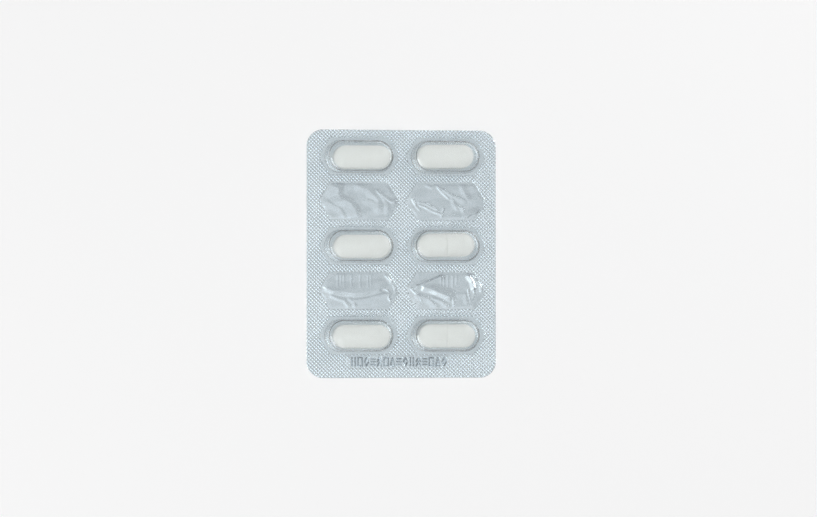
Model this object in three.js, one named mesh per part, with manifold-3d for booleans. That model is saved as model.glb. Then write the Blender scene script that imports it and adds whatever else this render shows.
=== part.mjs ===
// Push-through blister pack of oblong tablets. Millimetres, +Z up.
// The pack lies on its foil, pockets upwards, with the short edges at -Y and +Y.
// The origin is the centre of the foil's underside.

import * as THREE from 'three';
import { mergeVertices } from 'three/addons/utils/BufferGeometryUtils.js';
import Module from 'manifold-3d';

const wasm = await Module();
wasm.setup();

// Sheet
const packWidth = 58.4;
const packLength = 76;
const packCornerRadius = 5;
const packCornerSteps = 6;
const filmThickness = 0.25;
const foilThickness = 0.03;

// Stations, two columns of five rows, counted from the top left
const columnPitch = 26.7;
const rowPitch = 13.7;
const columnCount = 2;
const rowCount = 5;
const patternShiftX = 0.3;
const patternShiftY = 2.4;

// Unsealed zone round each station, a long hexagon with rounded ends
const zoneHalfWidth = 5.7;
const zoneEndReach = 12.1;
const zonePointReach = 12.6;
const zoneCornerAngle = THREE.MathUtils.degToRad(60);
const zoneRise = 0.1;
const zoneStep = 0.25;

// Pocket, measured on the outside of the film at its foot
const pocketLength = 21.5;
const pocketWidth = 10.3;
const pocketHeight = 6;
const pocketFootRadius = 0.35;
const pocketEdgeRadius = 1;
const pocketWallLean = THREE.MathUtils.degToRad(6);
const pocketEndTaper = 0.07;
const pocketCrown = 0.15;
const pocketCrownInset = 1.5;
const footSteps = 2;
const edgeSteps = 3;
const endSteps = 12;

// How far the inner forms run on below the film or foil that they open
const formDepth = 1;

// Tablet
const tabletLength = 17.5;
const tabletWidth = 7.2;
const tabletThickness = 5.4;
const tabletBand = 2.4;
const tabletFlat = 0.6;
const tabletEndSteps = 8;
const tabletFaceSteps = 4;
const scoreDepth = 0.35;
const scoreHalfWidth = 0.45;

// Each filled station: column, row, where the tablet lies in its pocket, its turn in degrees,
// and whether its scored face is up
const tablets = [
  { name: 'tablet_left_top', column: 0, row: 0, x: 0.5, y: -0.25, turn: 0, scoreUp: false },
  { name: 'tablet_right_top', column: 1, row: 0, x: -0.5, y: 0, turn: 1, scoreUp: false },
  { name: 'tablet_left_middle', column: 0, row: 2, x: 0.5, y: -0.15, turn: 0, scoreUp: false },
  { name: 'tablet_right_middle', column: 1, row: 2, x: -0.25, y: 0.25, turn: 1, scoreUp: true },
  { name: 'tablet_left_bottom', column: 0, row: 4, x: 0.4, y: -0.25, turn: 0, scoreUp: false },
  { name: 'tablet_right_bottom', column: 1, row: 4, x: -0.1, y: -0.15, turn: 0, scoreUp: true },
];

// Each blank station: column, row, how far the film bulges above its zone, and the folds of the
// loose foil under it as lines from a to b with a height and a half width
const blankInsets = [1.2, 3];
const blankShare = [0.5, 1];
const foilInsets = [0.7, 1.7, 2.8, 4];
const foilClearance = 0.05;
const blanks = [
  {
    column: 0,
    row: 1,
    bulge: 0.3,
    folds: [
      { a: [-6.8, 2.9], b: [-2.8, -0.4], height: 0.3, reach: 1.2 },
      { a: [-2.8, -0.4], b: [-0.6, -3.6], height: 0.26, reach: 1.1 },
      { a: [4.8, 3.2], b: [10.2, -0.2], height: 0.3, reach: 0.9 },
    ],
  },
  {
    column: 1,
    row: 1,
    bulge: 0.3,
    folds: [
      { a: [-2.4, 4.2], b: [0.8, 1.3], height: 0.28, reach: 1 },
      { a: [0.8, 1.3], b: [5.2, 0.7], height: 0.24, reach: 1 },
      { a: [-9.4, -0.6], b: [-2.6, -4], height: 0.3, reach: 1.1 },
      { a: [4.6, -1.4], b: [8.6, -3.4], height: 0.22, reach: 1 },
    ],
  },
  {
    column: 0,
    row: 3,
    bulge: 0.35,
    folds: [
      { a: [-8.4, 0.1], b: [0, -1.6], height: 0.32, reach: 1.2 },
      { a: [0, -1.6], b: [8.4, 0.4], height: 0.3, reach: 1.2 },
      { a: [8.2, 4.2], b: [10.8, 0.4], height: 0.26, reach: 0.9 },
    ],
  },
  {
    column: 1,
    row: 3,
    bulge: 0.5,
    folds: [
      { a: [-7, 0.8], b: [1.4, -2.4], height: 0.42, reach: 1.4 },
      { a: [6.8, 3.8], b: [8.4, 0.2], height: 0.4, reach: 1.1 },
      { a: [8.4, 0.2], b: [7.4, -3.4], height: 0.4, reach: 1.1 },
    ],
  },
];

// Derived sizes
const foilTop = foilThickness;
const sealTop = foilTop + filmThickness;
const pocketRadius = pocketWidth / 2;
const stationAxisHalf = (pocketLength - pocketWidth) / 2;
const zoneCornerX = stationAxisHalf + zoneHalfWidth / Math.tan(zoneCornerAngle);
const slantX = zonePointReach - zoneCornerX;
const slantLength = Math.hypot(slantX, zoneHalfWidth);
const slantNormal = [zoneHalfWidth / slantLength, slantX / slantLength];
const slantDistance = slantNormal[0] * (zonePointReach - stationAxisHalf);
const blankSideX = [-0.5, 0, 0.5].map((share) => share * stationAxisHalf);

function stationCentre(column, row) {
  const x = patternShiftX + (column - (columnCount - 1) / 2) * columnPitch;
  const y = patternShiftY - (row - (rowCount - 1) / 2) * rowPitch;
  return [x, y];
}

// A closed surface collected from loops of [x, y, z] points that all run anticlockwise from above
class Surface {
  constructor() {
    this.points = [];
    this.faces = [];
  }

  add(loop) {
    const first = this.points.length / 3;
    loop.forEach((p) => this.points.push(p[0], p[1], p[2]));
    return first;
  }

  band(outer, inner) {
    const a = this.add(outer);
    const b = this.add(inner);
    const n = outer.length;
    for (let i = 0; i < n; i += 1) {
      const j = (i + 1) % n;
      this.faces.push(a + i, a + j, b + j);
      this.faces.push(a + i, b + j, b + i);
    }
  }

  cap(loop, middle, up) {
    const a = this.add(loop);
    const m = this.add([middle]);
    const n = loop.length;
    for (let i = 0; i < n; i += 1) {
      const j = (i + 1) % n;
      this.faces.push(m, a + (up ? i : j), a + (up ? j : i));
    }
  }

  geometry() {
    const raw = new THREE.BufferGeometry();
    raw.setAttribute('position', new THREE.Float32BufferAttribute(this.points, 3));
    raw.setIndex(this.faces);
    return mergeVertices(raw, 1e-4);
  }
}

// A block that goes up through the loops and closes at a middle point below and one above
function block(rings, centre, topHeight, bottomHeight = rings[0][0][2]) {
  const body = new Surface();
  body.cap(rings[0], [...centre, bottomHeight], false);
  for (let i = 0; i + 1 < rings.length; i += 1) {
    body.band(rings[i], rings[i + 1]);
  }
  body.cap(rings[rings.length - 1], [...centre, topHeight], true);
  return body.geometry();
}

function solid(geometry) {
  const vertProperties = geometry.attributes.position.array;
  const triVerts = new Uint32Array(geometry.index.array);
  return new wasm.Manifold(new wasm.Mesh({ numProp: 3, vertProperties, triVerts }));
}

function geometryOf(body) {
  const { vertProperties, triVerts } = body.getMesh();
  const geometry = new THREE.BufferGeometry();
  geometry.setAttribute('position', new THREE.BufferAttribute(vertProperties, 3));
  geometry.setIndex(new THREE.BufferAttribute(triVerts, 1));
  geometry.computeVertexNormals();
  return geometry;
}

// Points round a station, in the same order for every shape: the right end, the top side,
// the left end and the bottom side. The reach gives the distance from the end's centre.
function stationLoop(axisHalf, steps, sideX, reach) {
  const loop = [];
  [1, -1].forEach((end) => {
    for (let i = 0; i <= steps; i += 1) {
      const angle = (i / steps - 0.5) * Math.PI;
      const r = reach(angle);
      loop.push([end * (axisHalf + r * Math.cos(angle)), end * r * Math.sin(angle)]);
    }
    sideX.forEach((x) => loop.push([end * -x, end * reach(Math.PI / 2)]));
  });
  return loop;
}

function zoneReach(angle, inset) {
  const c = Math.cos(angle);
  const s = Math.abs(Math.sin(angle));
  const side = s > 1e-6 ? (zoneHalfWidth - inset) / s : Infinity;
  const slant = (slantDistance - inset) / (slantNormal[0] * c + slantNormal[1] * s);
  const end = c > 1e-6 ? (zoneEndReach - stationAxisHalf - inset) / c : Infinity;
  return Math.min(side, slant, end);
}

function zoneLoop(inset, sideX) {
  return stationLoop(stationAxisHalf, endSteps, sideX, (angle) => zoneReach(angle, inset));
}

function lift(loop, centre, height) {
  return loop.map((p) => {
    const z = typeof height === 'function' ? height(p[0], p[1]) : height;
    return [p[0] + centre[0], p[1] + centre[1], z];
  });
}

function packOutline() {
  const outline = [];
  const quarter = Math.PI / 2;
  for (let corner = 0; corner < 4; corner += 1) {
    const sx = corner === 0 || corner === 3 ? 1 : -1;
    const sy = corner < 2 ? 1 : -1;
    for (let i = 0; i <= packCornerSteps; i += 1) {
      const angle = (corner + i / packCornerSteps) * quarter;
      const x = sx * (packWidth / 2 - packCornerRadius) + packCornerRadius * Math.cos(angle);
      const y = sy * (packLength / 2 - packCornerRadius) + packCornerRadius * Math.sin(angle);
      outline.push([x, y]);
    }
  }
  return outline;
}

// The section of a pocket as [inset from the foot, height above the zone, slope angle], outside of
// the film, from the foot up to the rim of the crown
function pocketSection() {
  const wallAngle = Math.PI / 2 - pocketWallLean;
  const section = [];
  for (let i = 0; i <= footSteps; i += 1) {
    const angle = (wallAngle * i) / footSteps;
    const inset = pocketFootRadius * Math.sin(angle);
    section.push([inset, pocketFootRadius * (1 - Math.cos(angle)), angle]);
  }
  const foot = section[footSteps];
  const edgeRise = pocketEdgeRadius * (1 - Math.cos(wallAngle));
  const wallRise = pocketHeight - foot[1] - edgeRise;
  const wallInset = foot[0] + wallRise / Math.tan(wallAngle);
  for (let i = 0; i <= edgeSteps; i += 1) {
    const angle = wallAngle * (1 - i / edgeSteps);
    const inset = wallInset + pocketEdgeRadius * (Math.sin(wallAngle) - Math.sin(angle));
    const height = foot[1] + wallRise + pocketEdgeRadius * (Math.cos(angle) - Math.cos(wallAngle));
    section.push([inset, height, angle]);
  }
  return section;
}

// A pocket's ends draw in towards its top more than its sides do
function pocketLoop(inset, height) {
  const taper = 1 - pocketEndTaper * (height / pocketHeight) ** 2;
  const loop = stationLoop(stationAxisHalf, endSteps, [], () => pocketRadius - inset);
  return loop.map((p) => [p[0] * taper, p[1]]);
}

// The sheet's own slab, between two heights
function slab(bottom, top) {
  const outline = packOutline();
  const origin = [0, 0];
  return solid(block([lift(outline, origin, bottom), lift(outline, origin, top)], origin, top));
}

// The form of a pocket, on the film's outside or its inside
function pocketForm(centre, outside) {
  const shift = outside ? 0 : filmThickness;
  const base = sealTop - shift;
  const rings = [
    lift(zoneLoop(0, []), centre, outside ? foilTop : foilTop - formDepth),
    lift(zoneLoop(0, []), centre, base),
    lift(zoneLoop(zoneStep, []), centre, base + zoneRise),
  ];
  const section = pocketSection();
  const rim = section[section.length - 1];
  section.push([rim[0] + pocketCrownInset, rim[1] + pocketCrown, 0]);
  section.forEach(([inset, height, angle]) => {
    const inward = inset + shift * Math.sin(angle);
    const z = sealTop + zoneRise + height - shift * Math.cos(angle);
    rings.push(lift(pocketLoop(inward, height), centre, z));
  });
  return solid(block(rings, centre, rings[rings.length - 1][0][2]));
}

function bulgeHeight(inset, bulge) {
  const insets = [0, zoneStep, ...blankInsets];
  const heights = [0, zoneRise, ...blankShare.map((share) => zoneRise + share * bulge)];
  for (let i = 1; i < insets.length; i += 1) {
    if (inset <= insets[i]) {
      const t = (inset - insets[i - 1]) / (insets[i] - insets[i - 1]);
      return heights[i - 1] + t * (heights[i] - heights[i - 1]);
    }
  }
  return heights[heights.length - 1];
}

// The form of a blank station of the film
function blankForm(centre, bulge, outside) {
  const base = outside ? sealTop : foilTop;
  const standing = outside ? foilTop : foilTop - formDepth;
  const rings = [lift(zoneLoop(0, blankSideX), centre, standing)];
  [0, zoneStep, ...blankInsets].forEach((inset) => {
    rings.push(lift(zoneLoop(inset, blankSideX), centre, base + bulgeHeight(inset, bulge)));
  });
  return solid(block(rings, centre, rings[rings.length - 1][0][2]));
}

function foldHeight(x, y, folds) {
  let height = 0;
  folds.forEach(({ a, b, height: top, reach }) => {
    const dx = b[0] - a[0];
    const dy = b[1] - a[1];
    const along = ((x - a[0]) * dx + (y - a[1]) * dy) / (dx * dx + dy * dy);
    const t = THREE.MathUtils.clamp(along, 0, 1);
    const gap = Math.hypot(x - a[0] - t * dx, y - a[1] - t * dy);
    height = Math.max(height, top * Math.exp(-((gap / reach) ** 2)));
  });
  return height;
}

// The form of the loose foil at a blank station, folded only upwards
function foldedForm(centre, bulge, folds, outside) {
  const base = outside ? foilTop : 0;
  const rings = [
    lift(zoneLoop(0, blankSideX), centre, outside ? 0 : -formDepth),
    lift(zoneLoop(0, blankSideX), centre, base),
  ];
  foilInsets.forEach((inset) => {
    const ceiling = bulgeHeight(inset, bulge) - foilClearance;
    rings.push(lift(zoneLoop(inset, blankSideX), centre, (x, y) => (
      base + Math.min(foldHeight(x, y, folds), ceiling)
    )));
  });
  return solid(block(rings, centre, base + foldHeight(0, 0, folds)));
}

function formedFilm() {
  let film = slab(foilTop, sealTop);
  tablets.forEach(({ column, row }) => {
    const centre = stationCentre(column, row);
    film = film.add(pocketForm(centre, true)).subtract(pocketForm(centre, false));
  });
  blanks.forEach(({ column, row, bulge }) => {
    const centre = stationCentre(column, row);
    film = film.add(blankForm(centre, bulge, true)).subtract(blankForm(centre, bulge, false));
  });
  return geometryOf(film);
}

function liddingFoil() {
  let foil = slab(0, foilTop);
  blanks.forEach(({ column, row, bulge, folds }) => {
    const centre = stationCentre(column, row);
    foil = foil.add(foldedForm(centre, bulge, folds, true));
    foil = foil.subtract(foldedForm(centre, bulge, folds, false));
  });
  return geometryOf(foil);
}

// The tablet's faces are arcs across its width that run round its ends
function tablet(scoreUp) {
  const halfWidth = tabletWidth / 2;
  const axisHalf = (tabletLength - tabletWidth) / 2;
  const cup = (tabletThickness - tabletBand) / 2;
  const span = halfWidth - tabletFlat / 2;
  const radius = (span * span + cup * cup) / (2 * cup);
  const sweep = Math.asin(span / radius);
  const sideX = [-scoreHalfWidth, 0, scoreHalfWidth];
  const middle = foilTop + tabletThickness / 2;
  const faceLoop = (step, side) => {
    const angle = sweep * (1 - step / tabletFaceSteps);
    const inset = span - radius * Math.sin(angle);
    const height = tabletThickness / 2 - radius * (1 - Math.cos(angle));
    const scored = (side > 0) === scoreUp;
    const depth = scored ? scoreDepth * Math.min(1, step) : 0;
    return stationLoop(axisHalf, tabletEndSteps, sideX, () => halfWidth - inset).map((p) => {
      const notch = Math.abs(p[0]) < scoreHalfWidth / 2 ? depth : 0;
      return [p[0], p[1], middle + side * (height - notch)];
    });
  };
  const steps = [...Array(tabletFaceSteps + 1).keys()];
  const rings = [...steps.map((step) => faceLoop(step, -1)).reverse()];
  rings.push(...steps.map((step) => faceLoop(step, 1)));
  const [belowScore, aboveScore] = scoreUp ? [0, scoreDepth] : [scoreDepth, 0];
  const top = foilTop + tabletThickness - aboveScore;
  return block(rings, [0, 0], top, foilTop + belowScore);
}

function piece(name, geometry, material) {
  const mesh = new THREE.Mesh(geometry, material);
  mesh.name = name;
  return mesh;
}

const pack = new THREE.Group();
pack.name = 'blister_pack';
pack.add(piece('formed_film', formedFilm(), new THREE.MeshStandardMaterial({
  color: 0xdfe6ea,
  roughness: 0.1,
  transparent: true,
  opacity: 0.35,
})));
pack.add(piece('lidding_foil', liddingFoil(), new THREE.MeshStandardMaterial({
  color: 0xc3cdd2,
  roughness: 0.35,
  metalness: 1,
})));
tablets.forEach(({ name, column, row, x, y, turn, scoreUp }) => {
  const mesh = piece(name, tablet(scoreUp), new THREE.MeshStandardMaterial({
    color: 0xe6e7e0,
    roughness: 0.45,
  }));
  const centre = stationCentre(column, row);
  mesh.position.set(centre[0] + x, centre[1] + y, 0);
  mesh.rotation.z = THREE.MathUtils.degToRad(turn);
  pack.add(mesh);
});

export default pack;
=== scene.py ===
# %% [markdown]
# # A push-through blister pack of oblong tablets
# The real pack is a sandwich of two sheets. A clear vinyl film is heated and drawn into pockets, a
# tablet drops into each pocket, and a thin aluminium foil is sealed over the back by a knurled roller.
# The CAD frame already has the pack's true sizes. Here each sheet is made again with its knurl, its
# folds and its soft edges, in the same place, so that the light has something fine to catch.

# %% Load the frame
import math

import bmesh
import bpy
from mathutils import Matrix, Vector, noise


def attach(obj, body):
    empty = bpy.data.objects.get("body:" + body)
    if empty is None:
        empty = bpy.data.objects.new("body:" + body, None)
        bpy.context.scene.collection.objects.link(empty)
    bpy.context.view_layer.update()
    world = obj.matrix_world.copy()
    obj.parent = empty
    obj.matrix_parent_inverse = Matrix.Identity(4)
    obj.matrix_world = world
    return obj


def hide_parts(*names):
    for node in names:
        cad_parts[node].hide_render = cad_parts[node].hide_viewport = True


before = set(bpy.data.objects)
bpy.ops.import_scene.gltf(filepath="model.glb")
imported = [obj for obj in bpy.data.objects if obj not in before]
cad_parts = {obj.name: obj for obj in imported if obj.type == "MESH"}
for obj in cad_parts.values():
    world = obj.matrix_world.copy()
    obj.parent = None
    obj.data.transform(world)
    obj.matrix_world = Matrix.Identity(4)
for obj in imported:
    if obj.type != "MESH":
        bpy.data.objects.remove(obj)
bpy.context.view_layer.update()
print("CAD nodes:", sorted(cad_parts))

# %% [markdown]
# ## Sizes
# The sizes are in millimetres, as on a drawing, and each mesh is scaled to metres when it is done.
# The outline, the stations and the sheets' thickness repeat the CAD model's, so that each sheet lies
# where its solid does. The solids have no knurl, so here the film lies higher by the knurl's depth.

# %% The pack's sizes
MM = 0.001
PACK_WIDTH = 58.4
PACK_LENGTH = 76.0
CORNER_RADIUS = 5.0
FILM_THICKNESS = 0.25
FOIL_THICKNESS = 0.03
SEAL_GAP = 0.004
COLUMN_PITCH = 26.7
ROW_PITCH = 13.7
SHIFT_X = 0.3
SHIFT_Y = 2.4
KNURL_PITCH = 0.8
KNURL_DEPTH = 0.1


def station_centre(column, row):
    x = SHIFT_X + (column - 0.5) * COLUMN_PITCH
    y = SHIFT_Y - (row - 2) * ROW_PITCH
    return Vector((x, y, 0.0))


STATIONS = [(column, row) for row in range(5) for column in range(2)]
POCKETS = [(column, row) for column, row in STATIONS if row % 2 == 0]
BLANKS = [(column, row) for column, row in STATIONS if row % 2 == 1]
print("Pockets:", len(POCKETS), "blank stations:", len(BLANKS))

# %% [markdown]
# ## The smooth zone round each station
# The sealing tool leaves a long hexagon round every pocket unpressed. Its outline is described by how
# far a point lies inside it: below zero is the knurled seal, above zero the smooth zone.

# %% The hexagon of a station
ZONE_HALF_WIDTH = 5.7
ZONE_END = 11.9
ZONE_POINT = 12.5
ZONE_RISE = 0.06
ZONE_STEP = 0.25
ZONE_ANGLE = 60.0
AXIS_HALF = 5.6
CORNER_X = AXIS_HALF + ZONE_HALF_WIDTH / math.tan(math.radians(ZONE_ANGLE))
SLANT = Vector((ZONE_HALF_WIDTH, ZONE_POINT - CORNER_X)).normalized()
SLANT_REACH = SLANT.x * ZONE_POINT


def zone_inset(x, y):
    x, y = abs(x), abs(y)
    return min(ZONE_HALF_WIDTH - y, ZONE_END - x, SLANT_REACH - SLANT.x * x - SLANT.y * y)


def zone_corners(inset):
    side = ZONE_HALF_WIDTH - inset
    end = ZONE_END - inset
    side_x = (SLANT_REACH - inset - SLANT.y * side) / SLANT.x
    end_y = (SLANT_REACH - inset - SLANT.x * end) / SLANT.y
    quarter = [Vector((end, end_y)), Vector((side_x, side))]
    half = quarter + [Vector((-p.x, p.y)) for p in reversed(quarter)]
    return half + [-p for p in half]


def nearest_station(x, y):
    column = 0 if x < SHIFT_X else 1
    row = min(4, max(0, round((SHIFT_Y - y) / ROW_PITCH + 2)))
    centre = station_centre(column, row)
    return (column, row), x - centre.x, y - centre.y


print("Zone corners:", [tuple(round(v, 2) for v in p) for p in zone_corners(0.0)[:2]])

# %% [markdown]
# ## The flat sheet, cut into knurl cells
# The knurl is a net of grooves at 45 degrees with a little pointed pyramid in each mesh. A grid
# turned by 45 degrees gives the cells, planes trim it to the pack's rounded outline, and short cuts
# draw each hexagon into it. Film and foil both start from this one sheet, so their grooves match.


# %% Trim the grid to the pack
GRID_CELLS = 120
OUTLINE_SIDES = 36
TOLERANCE = 1e-4


def pack_sides():
    inner_x = PACK_WIDTH / 2 - CORNER_RADIUS
    inner_y = PACK_LENGTH / 2 - CORNER_RADIUS
    for i in range(OUTLINE_SIDES):
        angle = 2 * math.pi * i / OUTLINE_SIDES
        normal = Vector((math.cos(angle), math.sin(angle), 0.0))
        corner = Vector((math.copysign(inner_x, normal.x), math.copysign(inner_y, normal.y), 0.0))
        yield corner + normal * CORNER_RADIUS, normal


def knurl_grid():
    sheet = bmesh.new()
    bmesh.ops.create_grid(
        sheet,
        x_segments=GRID_CELLS,
        y_segments=GRID_CELLS,
        size=GRID_CELLS * KNURL_PITCH / 2,
    )
    turn = Matrix.Rotation(math.radians(45), 3, "Z")
    bmesh.ops.rotate(sheet, verts=sheet.verts, cent=(0, 0, 0), matrix=turn)
    for point, normal in pack_sides():
        bmesh.ops.bisect_plane(
            sheet,
            geom=sheet.verts[:] + sheet.edges[:] + sheet.faces[:],
            dist=TOLERANCE,
            plane_co=point,
            plane_no=normal,
            clear_outer=True,
        )
    return sheet


# %% Draw the hexagons into the sheet
CUT_REACH = KNURL_PITCH * 0.75


def distance_to_segment(p, a, b):
    along = b - a
    t = max(0.0, min(1.0, (p - a).dot(along) / along.length_squared))
    return (p - a - along * t).length


def cut_outline(sheet, centre, corners):
    points = [p + centre.xy for p in corners]
    for a, b in zip(points, points[1:] + points[:1]):
        half = (b - a).length / 2 + CUT_REACH
        faces = []
        for face in sheet.faces:
            middle = face.calc_center_median().xy
            if (middle - (a + b) / 2).length < half and distance_to_segment(middle, a, b) < CUT_REACH:
                faces.append(face)
        edges = list({edge for face in faces for edge in face.edges})
        verts = list({vert for face in faces for vert in face.verts})
        normal = Vector((b.y - a.y, a.x - b.x, 0.0)).normalized()
        bmesh.ops.bisect_plane(
            sheet,
            geom=verts + edges + faces,
            dist=TOLERANCE,
            plane_co=a.to_3d(),
            plane_no=normal,
        )


def marked_sheet():
    sheet = knurl_grid()
    for column, row in STATIONS:
        for inset in (0.0, ZONE_STEP):
            cut_outline(sheet, station_centre(column, row), zone_corners(inset))
    return sheet


SHEET = marked_sheet()
print("Sheet cells:", len(SHEET.faces))

# %% [markdown]
# ## The strip of pressed marks
# A press stamps a row of fifteen small marks into the sealed end of the pack. They are plain shapes
# here: boxes, diamonds, triangles, bars, chevrons and posts. Each one is a few strokes, and the foil
# rises along them, so the strip needs finer faces than the knurl does.

# %% The marks and their strokes
MARK_CENTRE = Vector((-0.8, -33.05))
MARK_PITCH = 2.0
MARK_HALF = Vector((0.62, 1.25))
MARK_HEIGHT = 0.15
STROKE_HALF = 0.21
SHAPES = {
    "box": [(-1, -1, 1, -1), (1, -1, 1, 1), (1, 1, -1, 1), (-1, 1, -1, -1)],
    "diamond": [(0, -1, 1, 0), (1, 0, 0, 1), (0, 1, -1, 0), (-1, 0, 0, -1)],
    "triangle": [(-1, -1, 1, -1), (1, -1, 0, 1), (0, 1, -1, -1)],
    "bars": [(-1, -0.7, 1, -0.7), (-1, 0, 1, 0), (-1, 0.7, 1, 0.7)],
    "chevrons": [(-1, -1, 0, -0.1), (0, -0.1, 1, -1), (-1, 0.1, 0, 1), (0, 1, 1, 0.1)],
    "posts": [(-0.8, -1, -0.8, 1), (0.8, -1, 0.8, 1)],
}
ROW_OF_MARKS = [
    "posts", "box", "diamond", "bars", "chevrons", "box", "triangle", "bars",
    "diamond", "posts", "chevrons", "bars", "box", "triangle", "diamond",
]


def mark_strokes():
    strokes = []
    middle_index = (len(ROW_OF_MARKS) - 1) / 2
    for i, shape in enumerate(ROW_OF_MARKS):
        middle = MARK_CENTRE + Vector(((i - middle_index) * MARK_PITCH, 0.0))
        for x1, y1, x2, y2 in SHAPES[shape]:
            start = middle + Vector((x1 * MARK_HALF.x, y1 * MARK_HALF.y))
            end = middle + Vector((x2 * MARK_HALF.x, y2 * MARK_HALF.y))
            strokes.append((start, end))
    return strokes


STROKES = mark_strokes()
print("Marks:", len(ROW_OF_MARKS), "strokes:", len(STROKES))


# %% How high the foil stands in the strip
END_MARGIN = 0.8
SIDE_MARGIN = 0.6
KNURL_FADE = 0.45
STRIP_HALF = Vector((len(ROW_OF_MARKS) / 2 * MARK_PITCH + END_MARGIN, MARK_HALF.y + SIDE_MARGIN))


def in_strip(x, y):
    return abs(x - MARK_CENTRE.x) < STRIP_HALF.x and abs(y - MARK_CENTRE.y) < STRIP_HALF.y


def knurl_height(x, y):
    across = ((x + y) / math.sqrt(2)) / KNURL_PITCH
    down = ((y - x) / math.sqrt(2)) / KNURL_PITCH
    groove = min(abs(across - round(across)), abs(down - round(down))) * KNURL_PITCH
    return KNURL_DEPTH * groove / (KNURL_PITCH / 2)


def stroke_gap(x, y):
    point = Vector((x, y))
    gaps = [
        distance_to_segment(point, start, end)
        for start, end in STROKES
        if min(abs(start.x - x), abs(end.x - x)) < MARK_PITCH
    ]
    return min(gaps, default=math.inf)


def strip_height(x, y):
    gap = stroke_gap(x, y)
    stroke = max(0.0, 1.0 - gap / STROKE_HALF)
    knurled = min(1.0, max(0.0, (gap - STROKE_HALF) / KNURL_FADE))
    return max(knurl_height(x, y) * knurled, MARK_HEIGHT * stroke)


print("Knurl height in a cell's middle:", knurl_height(0.0, KNURL_PITCH / math.sqrt(2)))

# %% [markdown]
# ## Blank stations
# Nothing holds the foil flat at the four stations without a pocket, so it is crumpled there, and the
# film over it bulges a little. Crumpled foil is small flat facets that meet in sharp creases. Each
# named fold is a ridge along a line that was read off the pack, with a reach on either side: a short
# reach makes a steep side that flashes or goes dark, a long one makes a broad, faint tone. Facets of
# random height fill the rest, and two stations have fine upright pleats near their far side.

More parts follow.
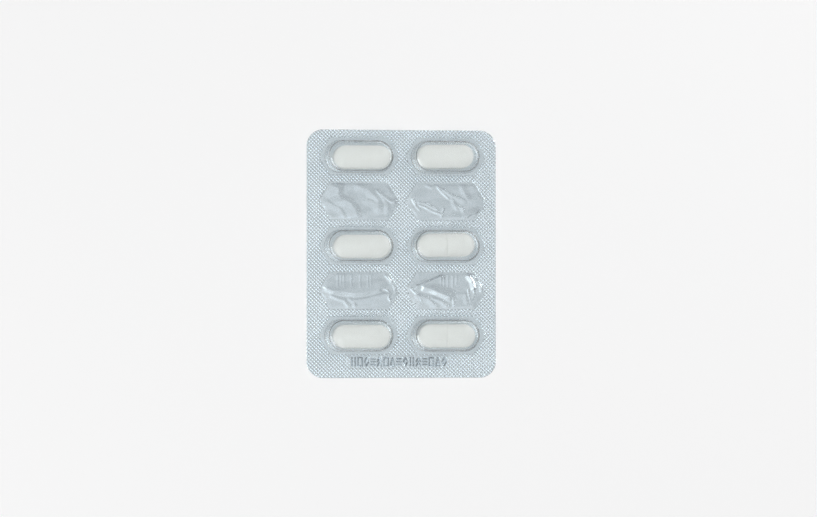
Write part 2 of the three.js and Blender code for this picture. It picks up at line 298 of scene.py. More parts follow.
# %% The folds of the loose foil
# Each station: how far its film bulges, how high its facets are, and its folds. Each fold: the line
# along its crest, its height, its reach to the left and to the right of that line.
FOLDS = {
    (0, 1): (0.30, 0.15, [
        ([(5.5, 2.9), (8.0, 1.05), (9.7, -0.2), (11.6, 0.0)], 0.16, 1.0, 0.5),
        ([(-6.1, 5.4), (-6.5, 2.1), (-5.6, 0.8), (-2.9, -0.3), (-1.2, -2.3), (-0.7, -4.7)],
         0.24, 1.6, 4.0),
        ([(0.2, 4.3), (2.6, 3.6), (4.6, 1.7), (5.8, 0.3), (5.9, -2.0)], 0.16, 2.0, 2.0),
        ([(2.6, 0.2), (4.0, 0.1), (5.2, -0.9)], 0.12, 0.8, 1.8),
        ([(6.6, 2.0), (8.6, -0.6), (8.8, -2.8)], 0.12, 1.2, 1.6),
        ([(-9.6, -0.4), (-6.0, -2.2), (-4.5, -4.6)], 0.13, 1.4, 1.6),
    ]),
    (1, 1): (0.30, 0.15, [
        ([(-10.3, 0.8), (-9.9, -0.1), (-9.0, -1.7), (-8.1, -2.5)], 0.14, 0.5, 0.5),
        ([(-8.2, -1.0), (-6.5, -1.6), (-4.8, -2.6), (-3.1, -3.3), (-1.0, -4.0)], 0.17, 0.35, 0.6),
        ([(-8.0, -0.2), (-6.2, -0.6), (-4.2, -1.6), (-2.6, -2.3)], 0.14, 0.35, 0.9),
        ([(-0.6, -2.2), (-1.2, -4.6)], 0.14, 0.4, 0.5),
        ([(-2.7, 4.9), (-2.4, 4.3), (-1.0, 2.8), (1.0, 1.0)], 0.16, 0.35, 0.6),
        ([(-0.6, 3.6), (0.6, 2.7), (2.7, 1.6), (5.5, 0.8)], 0.17, 0.45, 1.6),
        ([(-5.6, 4.9), (-4.4, 4.4), (-3.4, 4.9)], 0.14, 0.5, 0.8),
        ([(5.1, 4.4), (6.0, 2.6), (6.6, 1.2)], 0.13, 1.5, 1.2),
        ([(2.2, 0.7), (2.6, -0.8), (3.5, -2.0)], 0.13, 1.0, 1.0),
        ([(3.9, -1.5), (5.2, -2.0), (5.6, -2.9)], 0.15, 0.5, 0.9),
        ([(9.9, -3.2), (8.0, -3.7), (6.7, -4.6)], 0.16, 0.4, 1.8),
    ]),
    (0, 3): (0.35, 0.13, [
        ([(8.2, 4.6), (9.7, 3.2), (10.8, 1.5), (11.3, -0.4)], 0.15, 0.5, 0.55),
        ([(5.6, 0.5), (7.0, 0.75), (8.4, 0.5), (9.3, -0.5), (9.1, -2.3), (9.8, -3.3)], 0.14, 0.4, 0.5),
        ([(-9.9, 0.6), (-8.0, -0.1), (-4.6, -0.5), (-1.2, -0.9), (2.2, -0.6), (6.0, 0.4)], 0.27, 3.4, 1.3),
        ([(-1.5, -2.9), (2.0, -2.4), (6.7, -1.2), (9.0, -0.9)], 0.15, 0.7, 1.3),
        ([(-8.4, -1.6), (-6.6, -2.4), (-4.6, -3.0), (-3.4, -4.6)], 0.14, 0.9, 0.9),
        ([(-3.0, -2.6), (-1.6, -3.4), (-1.2, -4.8)], 0.12, 0.8, 0.9),
    ]),
    (1, 3): (0.50, 0.12, [
        ([(-6.6, 1.0), (-4.8, 0.5), (-2.0, -0.6), (1.2, -1.9)], 0.37, 2.6, 1.4),
        ([(-8.8, 1.4), (-5.5, 2.6), (-1.7, 4.3)], 0.26, 0.6, 1.6),
        ([(-10.6, 0.6), (-9.0, -1.0), (-7.5, -2.9)], 0.15, 0.6, 0.6),
        ([(7.3, 4.4), (8.3, 3.0), (8.8, 0.9)], 0.34, 0.7, 1.25),
        ([(7.0, 0.6), (7.1, -1.0), (7.4, -2.6)], 0.15, 0.32, 0.32),
        ([(8.9, 0.8), (8.8, -1.2), (8.4, -2.6), (7.6, -3.2)], 0.15, 0.32, 0.32),
        ([(7.2, 5.1), (9.2, 3.9), (10.8, 1.8), (11.1, -0.2)], 0.17, 0.5, 0.6),
        ([(2.4, -2.4), (2.6, -4.7)], 0.16, 0.4, 0.5),
        ([(-8.4, -1.6), (-5.4, -2.4), (-3.0, -4.6)], 0.18, 0.9, 1.6),
        ([(-4.2, -2.2), (-1.2, -3.2), (0.6, -4.9)], 0.16, 0.9, 1.2),
        ([(3.6, -1.4), (6.0, -1.0), (6.6, -3.2)], 0.14, 0.8, 1.2),
    ]),
}
PLEATS = {
    (0, 3): [(-6.6, 3.4), (-5.6, 3.0), (-4.7, 3.8), (-2.4, 3.4), (0.3, 3.8), (2.7, 3.8), (3.6, 3.0)],
    (1, 3): [(-1.4, 3.4), (-0.5, 3.2), (0.7, 3.6), (2.2, 3.8), (3.4, 2.8)],
}
PLEAT_TOP = 4.9
PLEAT_REACH = 0.4
PLEAT_HEIGHT = 0.06
print("Folds:", sum(len(folds) for _, _, folds in FOLDS.values()))


# %% How far the film bulges over a blank station
BULGE_REACH = 2.6
WAVE_HEIGHT = 0.1
WAVES_PER_MM = (0.28, 0.45)
WAVE_SEED = 7.0
WAVE_COLUMN_SEED = 3
WAVE_ROW_SEED = 5


def smooth(t):
    t = max(0.0, min(1.0, t))
    return t * t * (3 - 2 * t)


def wave(x, y, waves_per_mm, seed):
    return noise.noise(Vector((x * waves_per_mm[0], y * waves_per_mm[1], seed)))


def film_bulge(station, x, y):
    bulge = FOLDS[station][0]
    inset = zone_inset(x, y)
    seed = WAVE_SEED + WAVE_COLUMN_SEED * station[0] + WAVE_ROW_SEED * station[1]
    step = ZONE_RISE * min(1.0, inset / ZONE_STEP)
    return step + (bulge + WAVE_HEIGHT * wave(x, y, WAVES_PER_MM, seed)) * smooth(inset / BULGE_REACH)


print("Film's bulge in the middle:", [round(film_bulge(s, 0.0, 0.0), 2) for s in BLANKS])

# %% A fold, steep or broad on either side
SAME_GAP = 1e-6


def fold_height(point, line, top, left, right):
    nearest, side = math.inf, 0.0
    for start, end in zip(line, line[1:]):
        start, end = Vector(start), Vector(end)
        gap = distance_to_segment(point, start, end)
        if gap < nearest - SAME_GAP:
            nearest, side = gap, (end - start).cross(point - start)
    return top * max(0.0, 1.0 - nearest / (left if side > 0 else right))


# %% Facets between the folds
FACET_LENGTH = 2.7
FACET_WIDTH = 2.1
FACET_COS = 0.94
FACET_SIN = 0.34
FACET_BEND = 0.8
BENDS_PER_MM = (0.3, 0.3)
SECOND_SEED = 9.0


# The sine of a large uneven sum has no visible order, so it serves as a fixed random height.
def corner_height(i, j, seed):
    return 0.5 + 0.5 * math.sin(12.9898 * i + 78.233 * j + 3.7 * seed)


def facet_height(x, y, seed):
    x += FACET_BEND * wave(x, y, BENDS_PER_MM, seed)
    y += FACET_BEND * wave(x, y, BENDS_PER_MM, seed + SECOND_SEED)
    u = (FACET_COS * x + FACET_SIN * y) / FACET_LENGTH
    v = (FACET_COS * y - FACET_SIN * x) / FACET_WIDTH
    i, j = math.floor(u), math.floor(v)
    u, v = u - i, v - j
    right = corner_height(i + 1, j, seed)
    above = corner_height(i, j + 1, seed)
    if u + v < 1:
        return corner_height(i, j, seed) * (1 - u - v) + right * u + above * v
    return corner_height(i + 1, j + 1, seed) * (u + v - 1) + right * (1 - v) + above * (1 - u)


# %% The crumpled foil
COLUMN_SEED = 11.0
ROW_SEED = 17.0
CRUMPLE_EDGE = 1.0
FILM_CLEARANCE = 0.02


def foil_crumple(station, x, y):
    _, facets, folds = FOLDS[station]
    point = Vector((x, y))
    height = max(fold_height(point, *fold) for fold in folds)
    seed = COLUMN_SEED * station[0] + ROW_SEED * station[1]
    height += facets * facet_height(x, y, seed)
    for pleat_x, length in PLEATS.get(station, []):
        foot = Vector((pleat_x, PLEAT_TOP - length))
        gap = distance_to_segment(point, Vector((pleat_x, PLEAT_TOP)), foot)
        height += PLEAT_HEIGHT * max(0.0, 1.0 - gap / PLEAT_REACH)
    inset = zone_inset(x, y)
    ceiling = KNURL_DEPTH + film_bulge(station, x, y) - FILM_CLEARANCE
    return min(height * smooth(inset / CRUMPLE_EDGE), max(0.0, ceiling))


print("Foil's height in the middle:", [round(foil_crumple(s, 0.0, 0.0), 2) for s in BLANKS])

# %% [markdown]
# ## A pocket and a tablet, by spinning
# A pocket and a tablet are both oblong: a profile turned half round one end, drawn straight along the
# side, turned half round the other end and drawn back. Spin and extrude do exactly that.


# %% Oblong shapes from a profile
WELD_DISTANCE = 1e-3


def oblong(profile, axis_half, steps):
    shape = bmesh.new()
    verts = [shape.verts.new((axis_half, -r, z)) for r, z in profile]
    edges = [shape.edges.new(pair) for pair in zip(verts, verts[1:])]
    last = verts + edges
    for end in (1, -1):
        turned = bmesh.ops.spin(
            shape,
            geom=last,
            cent=(end * axis_half, 0, 0),
            axis=(0, 0, 1),
            dvec=(0, 0, 0),
            angle=math.pi,
            steps=steps,
            use_merge=False,
            use_duplicate=False,
        )
        line = [g for g in turned["geom_last"] if isinstance(g, bmesh.types.BMEdge)]
        drawn = bmesh.ops.extrude_edge_only(shape, edges=line)
        moved = [g for g in drawn["geom"] if isinstance(g, bmesh.types.BMVert)]
        bmesh.ops.translate(shape, verts=moved, vec=(-end * 2 * axis_half, 0, 0))
        last = [g for g in drawn["geom"] if not isinstance(g, bmesh.types.BMFace)]
    bmesh.ops.remove_doubles(shape, verts=shape.verts, dist=WELD_DISTANCE)
    bmesh.ops.dissolve_degenerate(shape, edges=shape.edges, dist=TOLERANCE)
    bmesh.ops.recalc_face_normals(shape, faces=shape.faces)
    return shape


def arc(centre, radius, start, end, steps):
    angles = [math.radians(start + (end - start) * i / steps) for i in range(steps + 1)]
    return [(centre[0] + radius * math.cos(a), centre[1] + radius * math.sin(a)) for a in angles]


# %% The pocket's profile
POCKET_RADIUS = 5.15
POCKET_HEIGHT = 5.92
FOOT_RADIUS = 0.25
WALL_LEAN = 3.0
EDGE_RADIUS = 0.5
EDGE_TURN = 50.0
SHOULDER_RADIUS = 2.6
SHOULDER_TURN = 88.0
END_TAPER = 0.055
CROWN = 0.15
CROWN_SPREAD = 1.4
FOOT_STEPS = 6
EDGE_STEPS = 5
SHOULDER_STEPS = 9
CROWN_STEPS = 4
SEAL_TOP = FOIL_THICKNESS + KNURL_DEPTH + FILM_THICKNESS
ZONE_TOP = SEAL_TOP + ZONE_RISE


def pocket_profile():
    foot_centre = (POCKET_RADIUS, ZONE_TOP + FOOT_RADIUS)
    foot = arc(foot_centre, FOOT_RADIUS, 270, 180 + WALL_LEAN, FOOT_STEPS)
    lean, turn = math.radians(WALL_LEAN), math.radians(EDGE_TURN)
    shoulder_drop = SHOULDER_RADIUS * (1 - math.sin(turn))
    edge_drop = EDGE_RADIUS * (math.sin(turn) - math.sin(lean))
    rise = POCKET_HEIGHT - FOOT_RADIUS * (1 - math.sin(lean)) - edge_drop - shoulder_drop
    top_x = foot[-1][0] - rise * math.tan(lean)
    middle_z = foot[-1][1] + rise - EDGE_RADIUS * math.sin(lean)
    edge_x = top_x - EDGE_RADIUS * math.cos(lean)
    edge = arc((edge_x, middle_z), EDGE_RADIUS, WALL_LEAN, EDGE_TURN, EDGE_STEPS)
    shoulder_x = edge[-1][0] - SHOULDER_RADIUS * math.cos(turn)
    shoulder_z = ZONE_TOP + POCKET_HEIGHT - SHOULDER_RADIUS
    shoulder_centre = (shoulder_x, shoulder_z)
    shoulder = arc(shoulder_centre, SHOULDER_RADIUS, EDGE_TURN, SHOULDER_TURN, SHOULDER_STEPS)
    rim_x, rim_z = shoulder[-1]
    shares = [(i + 1) / CROWN_STEPS for i in range(CROWN_STEPS)]
    crown = [(rim_x * (1 - t), rim_z + CROWN * smooth(t * CROWN_SPREAD)) for t in shares]
    return foot + edge + shoulder[1:] + crown


def draw_ends_in(pocket):
    for vert in pocket.verts:
        share = (vert.co.z - ZONE_TOP) / POCKET_HEIGHT
        vert.co.x *= 1 - END_TAPER * share * share


POCKET_END_STEPS = 24
POCKET = oblong(pocket_profile(), AXIS_HALF, POCKET_END_STEPS)
draw_ends_in(POCKET)
print("Pocket faces:", len(POCKET.faces))


# %% The tablet's profile
TABLET_LENGTH = 17.5
TABLET_WIDTH = 7.2
TABLET_THICKNESS = 5.4
TABLET_BAND = 2.4
TABLET_LIFT = 0.01
BEVEL_BELOW = 0.15
BEVEL_ABOVE = 0.04
BEVEL_INSET = 0.06
DOME_STEPS = 12


def tablet_profile():
    half = TABLET_WIDTH / 2
    cup = (TABLET_THICKNESS - TABLET_BAND) / 2
    radius = (half * half + cup * cup) / (2 * cup)
    sweep = math.degrees(math.asin(half / radius))
    middle = TABLET_THICKNESS / 2
    dome = arc((0.0, middle - radius), radius, 90 - sweep, 90, DOME_STEPS)
    band = [(half, 0.0), (half, TABLET_BAND / 2 - BEVEL_BELOW)]
    bevel = [(half - BEVEL_INSET, TABLET_BAND / 2 + BEVEL_ABOVE)]
    upper = band + bevel + dome[1:]
    lower = [(r, -z) for r, z in reversed(upper[1:])]
    return [(r, z + middle + FOIL_THICKNESS + TABLET_LIFT) for r, z in lower + upper]


print("Tablet profile points:", len(tablet_profile()))

# %% [markdown]
# ## The film
# The film is the marked sheet with six pockets let into it. A poke gives each knurl cell its point,
# the blank stations get finer faces that bulge, and a triangle fill joins each pocket's foot to its
# hexagon. A Solidify modifier then gives the sheet the film's thickness.


# %% Raise the knurl and refine what bends
def face_place(face):
    middle = face.calc_center_median()
    station, x, y = nearest_station(middle.x, middle.y)
    return station, zone_inset(x, y), in_strip(middle.x, middle.y)


def refine(sheet, wanted, cuts):
    faces = [face for face in sheet.faces if wanted(*face_place(face))]
    edges = list({edge for face in faces for edge in face.edges})
    bmesh.ops.subdivide_edges(sheet, edges=edges, cuts=cuts, use_grid_fill=True)


# A relative offset is a share of the way from a cell's middle to its corners, so a cell that a cut
# has made small gets a low point.
def raise_knurl(sheet, depth):
    cells = []
    for face in sheet.faces:
        _, inset, strip = face_place(face)
        if inset < 0 and not strip:
            cells.append(face)
    corner = KNURL_PITCH / math.sqrt(2)
    bmesh.ops.poke(sheet, faces=cells, offset=depth / corner, use_relative_offset=True)
    print("Knurl cells:", len(cells), "highest:", round(max(v.co.z for v in sheet.verts), 3))


def set_heights(sheet, height):
    for vert in sheet.verts:
        vert.co.z = height(vert.co.x, vert.co.y)


# %% Piece from a mesh
def piece(shape, name):
    bmesh.ops.scale(shape, verts=shape.verts, vec=(MM, MM, MM))
    mesh = bpy.data.meshes.new(name)
    shape.to_mesh(mesh)
    shape.free()
    obj = bpy.data.objects.new(name, mesh)
    bpy.context.scene.collection.objects.link(obj)
    print(name, "faces:", len(mesh.polygons))
    return obj


def append(sheet, part, offset):
    spare = bpy.data.meshes.new("spare")
    part.to_mesh(spare)
    spare.transform(Matrix.Translation(offset))
    sheet.from_mesh(spare)
    bpy.data.meshes.remove(spare)


# %% How high the film lies
STRIP_RISE = 0.06
STRIP_FADE = 0.6


def film_height(x, y):
    station, u, v = nearest_station(x, y)
    inset = zone_inset(u, v)
    if in_strip(x, y):
        edge_x = STRIP_HALF.x - abs(x - MARK_CENTRE.x)
        edge_y = STRIP_HALF.y - abs(y - MARK_CENTRE.y)
        return SEAL_TOP + STRIP_RISE * smooth(min(edge_x, edge_y) / STRIP_FADE)
    if inset <= TOLERANCE:
        return SEAL_TOP
    if station in BLANKS:
        return SEAL_TOP + film_bulge(station, u, v)
    return SEAL_TOP + ZONE_RISE * min(1.0, inset / ZONE_STEP)


print("Film's height in a pocket's zone:", round(film_height(*station_centre(0, 0).xy), 3))

# %% Make the film
FILM_IMPRINT = 0.03
FILM_BLANK_CUTS = 1


def foot_edges(sheet, centre):
    found = []
    for edge in sheet.edges:
        if edge.is_boundary:
            middle = (edge.verts[0].co + edge.verts[1].co) / 2 - centre
            if zone_inset(middle.x, middle.y) > ZONE_STEP / 2:
                found.append(edge)
    return found


def make_film():
    film = SHEET.copy()
    hidden = []
    for face in film.faces:
        station, inset, _ = face_place(face)
        if station in POCKETS and inset > ZONE_STEP:
            hidden.append(face)
    bmesh.ops.delete(film, geom=hidden, context="FACES")
    refine(
        film,
        lambda station, inset, strip: station in BLANKS and inset > ZONE_STEP,
        FILM_BLANK_CUTS,
    )
    set_heights(film, film_height)
    raise_knurl(film, FILM_IMPRINT)
    for column, row in POCKETS:
        centre = station_centre(column, row)
        append(film, POCKET, centre)
        edges = foot_edges(film, centre)
        bmesh.ops.triangle_fill(film, use_beauty=True, edges=edges, normal=(0, 0, 1))
    bmesh.ops.recalc_face_normals(film, faces=film.faces)
    if sum(face.normal.z for face in film.faces) < 0:
        bmesh.ops.reverse_faces(film, faces=film.faces)
    for face in film.faces:
        _, inset, _ = face_place(face)
        face.smooth = inset > 0
    return piece(film, "clear_film")


film = make_film()
wall = film.modifiers.new("film_thickness", "SOLIDIFY")
wall.thickness = (FILM_THICKNESS - SEAL_GAP) * MM
wall.offset = -1.0

# %% [markdown]
# ## The foil
# The foil is the same sheet with the same knurl, a thin skin under the film. It lies flat under the
# tablets, with a slight swell round them, and is crumpled at the blank stations, where it gets faces of
# about 0.2 mm. Where a stroke of a mark is pressed, each point carries a value, and there the foil's
# colour is painted darker: painted shade for the dark look of the raised strokes, over their real relief.

# %% How high the foil lies
SWELL_HEIGHT = 0.05
SWELL_RISE = 0.4
SWELL_END = 1.8
SWELL_FALL = 1.2
SWELLS_PER_MM = (0.35, 0.35)
SWELL_SEED = 3.0


def foil_height(x, y):
    station, u, v = nearest_station(x, y)
    inset = zone_inset(u, v)
    if in_strip(x, y):
        return FOIL_THICKNESS + strip_height(x, y)
    if station in BLANKS and inset > 0:
        return FOIL_THICKNESS + foil_crumple(station, u, v)
    swell = SWELL_HEIGHT * (0.5 + wave(x, y, SWELLS_PER_MM, SWELL_SEED))
    return FOIL_THICKNESS + swell * smooth(min(inset / SWELL_RISE, (SWELL_END - inset) / SWELL_FALL))


print("Foil's height in a pocket's middle:", round(foil_height(*station_centre(0, 0).xy), 3))

# %% Make the foil
FOIL_BLANK_CUTS = 3
FOIL_STRIP_CUTS = 5
PRESSED_REACH = 1.6 * STROKE_HALF
PRESSED_FADE = 0.14


def make_foil():
    foil = SHEET.copy()
    refine(foil, lambda station, inset, strip: station in BLANKS and inset > 0, FOIL_BLANK_CUTS)
    refine(foil, lambda station, inset, strip: strip, FOIL_STRIP_CUTS)
    set_heights(foil, foil_height)
    # Each point's share of the painted shade that darkens the foil's colour along the strokes.
    pressed = foil.verts.layers.float.new("pressed")
    for vert in foil.verts:
        if in_strip(vert.co.x, vert.co.y):
            gap = stroke_gap(vert.co.x, vert.co.y)
            vert[pressed] = smooth((PRESSED_REACH - gap) / PRESSED_FADE)
    raise_knurl(foil, KNURL_DEPTH)
    for face in foil.faces:
        _, inset, _ = face_place(face)
        face.smooth = inset > 0
    return piece(foil, "knurled_foil")


foil = make_foil()
skin = foil.modifiers.new("foil_thickness", "SOLIDIFY")
skin.thickness = (FOIL_THICKNESS - 2 * SEAL_GAP) * MM
skin.offset = -1.0

# %% [markdown]
# ## The tablets
# Each tablet lies loose, a little off its pocket's middle. A score runs across one face, and only two
# tablets lie with it up. Cuts beside the score and in its middle give the vertices that it needs,
# and those in the middle are pressed in, which makes a narrow V.

# %% Make the tablets
SCORE_DEPTH = 0.3
SCORE_HALF_WIDTH = 0.3
SCORE_CUTS = (-1.5, -1.0, 0.0, 1.0, 1.5)
SCORE_FLOOR = 0.1
TABLET_END_STEPS = 20
# Each tablet: its name, its station, its place off the pocket's middle along X and Y, its turn in
# degrees, and whether its score is up.
TABLETS = [
    ("tablet_left_top", 0, 0, 0.7, -0.4, 0.0, False),
    ("tablet_right_top", 1, 0, -0.6, 0.0, 1.0, False),
    ("tablet_left_middle", 0, 2, 0.7, -0.25, 0.0, False),
    ("tablet_right_middle", 1, 2, -0.3, 0.25, 1.0, True),
    ("tablet_left_bottom", 0, 4, 0.5, -0.35, 0.0, False),
    ("tablet_right_bottom", 1, 4, -0.1, -0.15, 0.0, True),
]


def press_score(tablet, score_up):
    for share in SCORE_CUTS:
        bmesh.ops.bisect_plane(
            tablet,
            geom=tablet.verts[:] + tablet.edges[:] + tablet.faces[:],
            dist=TOLERANCE,
            plane_co=(share * SCORE_HALF_WIDTH, 0, 0),
            plane_no=(1, 0, 0),
        )
    middle = FOIL_THICKNESS + TABLET_THICKNESS / 2
    side = 1 if score_up else -1
    for vert in tablet.verts:
        above = side * (vert.co.z - middle) - TABLET_BAND / 2
        if above > SCORE_FLOOR and abs(vert.co.x) < SCORE_HALF_WIDTH / 2:
            vert.co.z -= side * SCORE_DEPTH


def make_tablet(name, column, row, x, y, turn, score_up):
    axis_half = (TABLET_LENGTH - TABLET_WIDTH) / 2
    tablet = oblong(tablet_profile(), axis_half, TABLET_END_STEPS)
    press_score(tablet, score_up)
    spin = Matrix.Rotation(math.radians(turn), 3, "Z")
    bmesh.ops.rotate(tablet, verts=tablet.verts, cent=(0, 0, 0), matrix=spin)
    place = station_centre(column, row) + Vector((x, y, 0))
    bmesh.ops.translate(tablet, verts=tablet.verts, vec=place)
    for face in tablet.faces:
        face.smooth = True
    return piece(tablet, name.replace("tablet", "coated_tablet"))


tablets = {row[0]: make_tablet(*row) for row in TABLETS}

# %% [markdown]
# ## Finishes
# No real surface is one even value, so each finish gets its detail from textures on Object
# coordinates, which are metres here: a scale of 1000 gives spots of about a millimetre. A bump texture
# is cheaper than real relief and is right for anything finer than the knurl.


# %% Helpers for finishes
SPOT_LOW = 0.3
SPOT_HIGH = 0.7


def new_material(name, **values):
    material = bpy.data.materials.new(name)
    material.use_nodes = True
    shader = material.node_tree.nodes["Principled BSDF"]
    for key, value in values.items():
        shader.inputs[key.replace("_", " ")].default_value = value
    return material, shader


def spots(material, scale, stretch=(1.0, 1.0, 1.0), detail=2.0):
    nodes, links = material.node_tree.nodes, material.node_tree.links
    place = nodes.new("ShaderNodeTexCoord")
    mapping = nodes.new("ShaderNodeMapping")
    mapping.inputs["Scale"].default_value = stretch
    texture = nodes.new("ShaderNodeTexNoise")
    texture.inputs["Scale"].default_value = scale
    texture.inputs["Detail"].default_value = detail
    links.new(place.outputs["Object"], mapping.inputs["Vector"])
    links.new(mapping.outputs["Vector"], texture.inputs["Vector"])
    return texture.outputs["Fac"]


def vary_number(material, spot, socket, low, high):
    nodes, links = material.node_tree.nodes, material.node_tree.links
    level = nodes.new("ShaderNodeMapRange")
    level.inputs["From Min"].default_value = SPOT_LOW
    level.inputs["From Max"].default_value = SPOT_HIGH
    level.inputs["To Min"].default_value = low
    level.inputs["To Max"].default_value = high
    links.new(spot, level.inputs["Value"])
    links.new(level.outputs["Result"], nodes["Principled BSDF"].inputs[socket])


def vary_colour(material, spot, low, high):
    nodes, links = material.node_tree.nodes, material.node_tree.links
    ramp = nodes.new("ShaderNodeValToRGB")
    ramp.color_ramp.elements[0].position = SPOT_LOW
    ramp.color_ramp.elements[1].position = SPOT_HIGH
    ramp.color_ramp.elements[0].color = (*low, 1.0)
    ramp.color_ramp.elements[1].color = (*high, 1.0)
    links.new(spot, ramp.inputs["Fac"])
    links.new(ramp.outputs["Color"], nodes["Principled BSDF"].inputs["Base Color"])


def roughen(material, spot, strength, depth_mm):
    nodes, links = material.node_tree.nodes, material.node_tree.links
    bump = nodes.new("ShaderNodeBump")
    bump.inputs["Strength"].default_value = strength
    bump.inputs["Distance"].default_value = depth_mm * MM
    links.new(spot, bump.inputs["Height"])
    links.new(bump.outputs["Normal"], nodes["Principled BSDF"].inputs["Normal"])


# %% [markdown]
# The foil is bare rolled aluminium: a metal whose brightness wanders a little, with faint rolling
# lines along the pack. Stretching the texture along Y turns its spots into such lines.

# %% Foil finish
foil_finish, _ = new_material("bright_foil", Metallic=1.0)
rolling = spots(foil_finish, 3000.0, (1.0, 0.06, 1.0))
clouds = spots(foil_finish, 160.0)
vary_colour(foil_finish, clouds, (0.845, 0.868, 0.876), (0.870, 0.893, 0.900))
vary_number(foil_finish, clouds, "Roughness", 0.17, 0.22)
roughen(foil_finish, rolling, 0.25, 0.004)
print("Finish:", foil_finish.name)

# %% Painted shade where the marks are pressed
# The foil's colour is multiplied darker along the strokes. This is painted shade for how the raised
# strokes catch less light; the foil there is the same metal.
PAINTED_STROKE_SHADE = (0.52, 0.55, 0.57, 1.0)
foil_nodes, foil_links = foil_finish.node_tree.nodes, foil_finish.node_tree.links
stroke_shade_share = foil_nodes.new("ShaderNodeAttribute")
stroke_shade_share.attribute_name = "pressed"
stroke_shade_mix = foil_nodes.new("ShaderNodeMixRGB")
stroke_shade_mix.blend_type = "MULTIPLY"
stroke_shade_mix.inputs["Color2"].default_value = PAINTED_STROKE_SHADE
foil_colour = foil_nodes["Principled BSDF"].inputs["Base Color"]
foil_links.new(foil_colour.links[0].from_socket, stroke_shade_mix.inputs["Color1"])
foil_links.new(stroke_shade_share.outputs["Fac"], stroke_shade_mix.inputs["Fac"])
foil_links.new(stroke_shade_mix.outputs["Color"], foil_colour)
print("Duller by the attribute:", stroke_shade_share.attribute_name)

# %% [markdown]
# The tablets have a thin cream-white film coating with the fine orange-peel of a sprayed skin.

# %% Tablet finish
coating_finish, _ = new_material("tablet_coating")
peel = spots(coating_finish, 3200.0)
cream = spots(coating_finish, 420.0)
vary_colour(coating_finish, cream, (0.806, 0.775, 0.718), (0.824, 0.795, 0.740))
vary_number(coating_finish, cream, "Roughness", 0.50, 0.60)
roughen(coating_finish, peel, 0.3, 0.012)
print("Finish:", coating_finish.name)

# %% [markdown]
# The film is clear and glossy. Drawing it leaves a faint waviness of a few millimetres, and handling
# leaves patches that are a little less clear. A transparent shader for shadow rays lets the lamps
# shine through it onto the tablets. A small share of all other rays goes straight through as well,
# which keeps the pockets' rims from turning too dark.

# %% Film finish
film_finish, film_shader = new_material(
    "clear_vinyl",
    Base_Color=(0.90, 0.95, 0.98, 1.0),
    IOR=1.46,
    Transmission_Weight=1.0,
)
waves = spots(film_finish, 240.0, detail=1.0)
vary_number(film_finish, spots(film_finish, 500.0), "Roughness", 0.015, 0.035)
roughen(film_finish, waves, 0.2, 0.02)
print("Finish:", film_finish.name)

# %% Let lamps through the film
STRAIGHT_SHARE = 0.2
CLEAR_TINT = (0.91, 0.925, 0.935, 1.0)
nodes = film_finish.node_tree.nodes
links = film_finish.node_tree.links
path = nodes.new("ShaderNodeLightPath")
clear = nodes.new("ShaderNodeBsdfTransparent")
clear.inputs["Color"].default_value = CLEAR_TINT
mix = nodes.new("ShaderNodeMixShader")
share = nodes.new("ShaderNodeMath")
share.operation = "MAXIMUM"
share.inputs[1].default_value = STRAIGHT_SHARE
links.new(path.outputs["Is Shadow Ray"], share.inputs[0])
links.new(share.outputs["Value"], mix.inputs["Fac"])
links.new(film_shader.outputs["BSDF"], mix.inputs[1])
links.new(clear.outputs["BSDF"], mix.inputs[2])
links.new(mix.outputs["Shader"], nodes["Material Output"].inputs["Surface"])
print("Share of rays that go straight through:", STRAIGHT_SHARE)

# %% Give each piece its finish
film.data.materials.append(film_finish)
foil.data.materials.append(foil_finish)
for tablet in tablets.values():
    tablet.data.materials.append(coating_finish)
print("Finishes:", [m.name for m in (foil_finish, coating_finish, film_finish)])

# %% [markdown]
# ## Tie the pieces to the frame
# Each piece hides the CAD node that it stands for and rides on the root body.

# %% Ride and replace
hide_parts("formed_film")
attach(film, "root")
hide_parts("lidding_foil")
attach(foil, "root")
for name, tablet in tablets.items():
    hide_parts(name)
    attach(tablet, "root")
print("Pieces tied to the frame:", 2 + len(tablets))

# %% [markdown]
# ## The studio
# The pack lies on a plain near-white table under a soft white sky. A mirror shows what stands round it,
# and foil is nearly one, so the sky isn't even: it is brightest overhead and towards the left front,
# and dimmer lower down and to the far right. Then every slope of the knurl and folds has its own tone.

# %% Table
TABLE_SIZE = 6.0
TABLE_DROP = 0.02 * MM
bpy.ops.mesh.primitive_plane_add(size=TABLE_SIZE, location=(0, 0, -TABLE_DROP))
floor = bpy.context.object
floor.name = "table"
table_finish, _ = new_material("table", Base_Color=(0.972, 0.978, 0.986, 1.0), Roughness=0.9)
floor.data.materials.append(table_finish)
print("Table:", TABLE_SIZE, "m wide")

# %% Sky
scene = bpy.context.scene
sky = bpy.data.worlds.new("sky")
scene.world = sky
sky.use_nodes = True
sky_nodes = sky.node_tree.nodes
sky_links = sky.node_tree.links
sky_nodes["Background"].inputs["Color"].default_value = (1.0, 1.0, 1.0, 1.0)
direction = sky_nodes.new("ShaderNodeTexCoord")
split = sky_nodes.new("ShaderNodeSeparateXYZ")
sky_links.new(direction.outputs["Generated"], split.inputs["Vector"])


def sky_level(source, low, high, at_low, at_high):
    level = sky_nodes.new("ShaderNodeMapRange")
    level.interpolation_type = "SMOOTHSTEP"
    limits = {"From Min": low, "From Max": high, "To Min": at_low, "To Max": at_high}
    for name, value in limits.items():
        level.inputs[name].default_value = value
    sky_links.new(source, level.inputs["Value"])
    return level.outputs["Result"]


print("Sky:", sky.name)

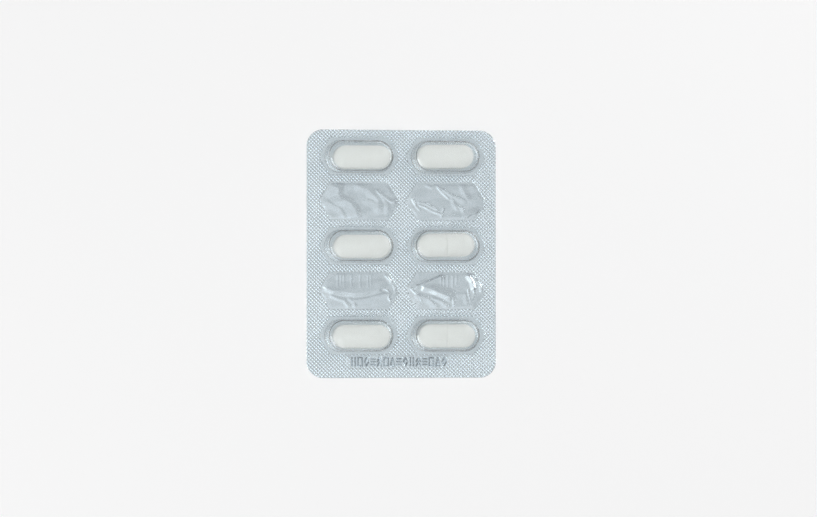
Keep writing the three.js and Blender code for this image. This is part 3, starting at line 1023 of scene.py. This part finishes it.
# %% Dimmer low down and to the far right
LEFT_FRONT = (-0.78, -0.62, 0.0)
overhead = sky_level(split.outputs["Z"], low=0.66, high=0.97, at_low=0.45, at_high=0.86)
towards = sky_nodes.new("ShaderNodeVectorMath")
towards.operation = "DOT_PRODUCT"
towards.inputs[1].default_value = LEFT_FRONT
sky_links.new(direction.outputs["Generated"], towards.inputs[0])
sideways = sky_level(towards.outputs["Value"], low=-0.45, high=0.45, at_low=0.66, at_high=1.18)
strength = sky_nodes.new("ShaderNodeMath")
strength.operation = "MULTIPLY"
sky_links.new(overhead, strength.inputs[0])
sky_links.new(sideways, strength.inputs[1])
sky_links.new(strength.outputs["Value"], sky_nodes["Background"].inputs["Strength"])
print("Sky nodes:", len(sky_nodes))

# %% [markdown]
# Four soft boxes stand a metre from the pack. The high one lights the gentle folds, the left strip
# draws the bright streaks on the steep ones and on the left ends of the pockets, and the two on the
# right light the tablets' right sides, so that each tablet is even. A box's power is its level times
# pi times its area, which makes its face as bright as a sky of that level.

# %% Soft boxes
LAMP_COLOUR = (1.0, 0.985, 0.97)


def soft_box(name, turn, height, size, level):
    lamp = bpy.data.lights.new(name, "AREA")
    lamp.shape = "RECTANGLE"
    lamp.size, lamp.size_y = size
    lamp.energy = level * math.pi * size[0] * size[1]
    lamp.color = LAMP_COLOUR
    obj = bpy.data.objects.new(name, lamp)
    turn, height = math.radians(turn), math.radians(height)
    flat = math.cos(height)
    obj.location = (flat * math.cos(turn), flat * math.sin(turn), math.sin(height))
    obj.rotation_euler = (-obj.location).to_track_quat("-Z", "Y").to_euler()
    scene.collection.objects.link(obj)


soft_box("high_box", 222.0, 60.0, (0.7, 0.4), 0.62)
soft_box("left_strip", 210.0, 38.0, (0.8, 0.2), 5.6)
soft_box("right_strip", 12.0, 36.0, (0.6, 0.2), 3.2)
soft_box("right_fill", 48.0, 33.0, (1.1, 0.28), 3.0)

# %% [markdown]
# ## The camera
# It looks down from nearly a metre above the pack, a little from its left, so the left walls of the
# pockets show and the right ones stand on edge.

# %% Camera
CAMERA_DISTANCE = 0.9
CAMERA_SIDE = 7.0
CAMERA_FRONT = 1.2
SENSOR_WIDTH = 36.0
MM_PER_PIXEL = 0.3067
FRAME_WIDTH = 817
AIM_PIXEL = (7.1, -4.6)
camera_data = bpy.data.cameras.new("overhead")
camera = bpy.data.objects.new("overhead", camera_data)
scene.collection.objects.link(camera)
camera_data.sensor_width = SENSOR_WIDTH
camera_data.lens = SENSOR_WIDTH * CAMERA_DISTANCE / (FRAME_WIDTH * MM_PER_PIXEL * MM)
side = math.sin(math.radians(CAMERA_SIDE))
front = math.sin(math.radians(CAMERA_FRONT))
up = math.sqrt(1 - side * side - front * front)
camera.location = Vector((-side, -front, up)) * CAMERA_DISTANCE
aim_point = Vector((*AIM_PIXEL, 0.0)) * MM_PER_PIXEL * MM
back = (camera.location - aim_point).normalized()
right = Vector((0, 1, 0)).cross(back).normalized()
camera.rotation_euler = Matrix((right, back.cross(right), back)).transposed().to_euler()
scene.camera = camera
scene.view_settings.view_transform = "Standard"
print("Lens:", round(camera_data.lens, 1), "mm")
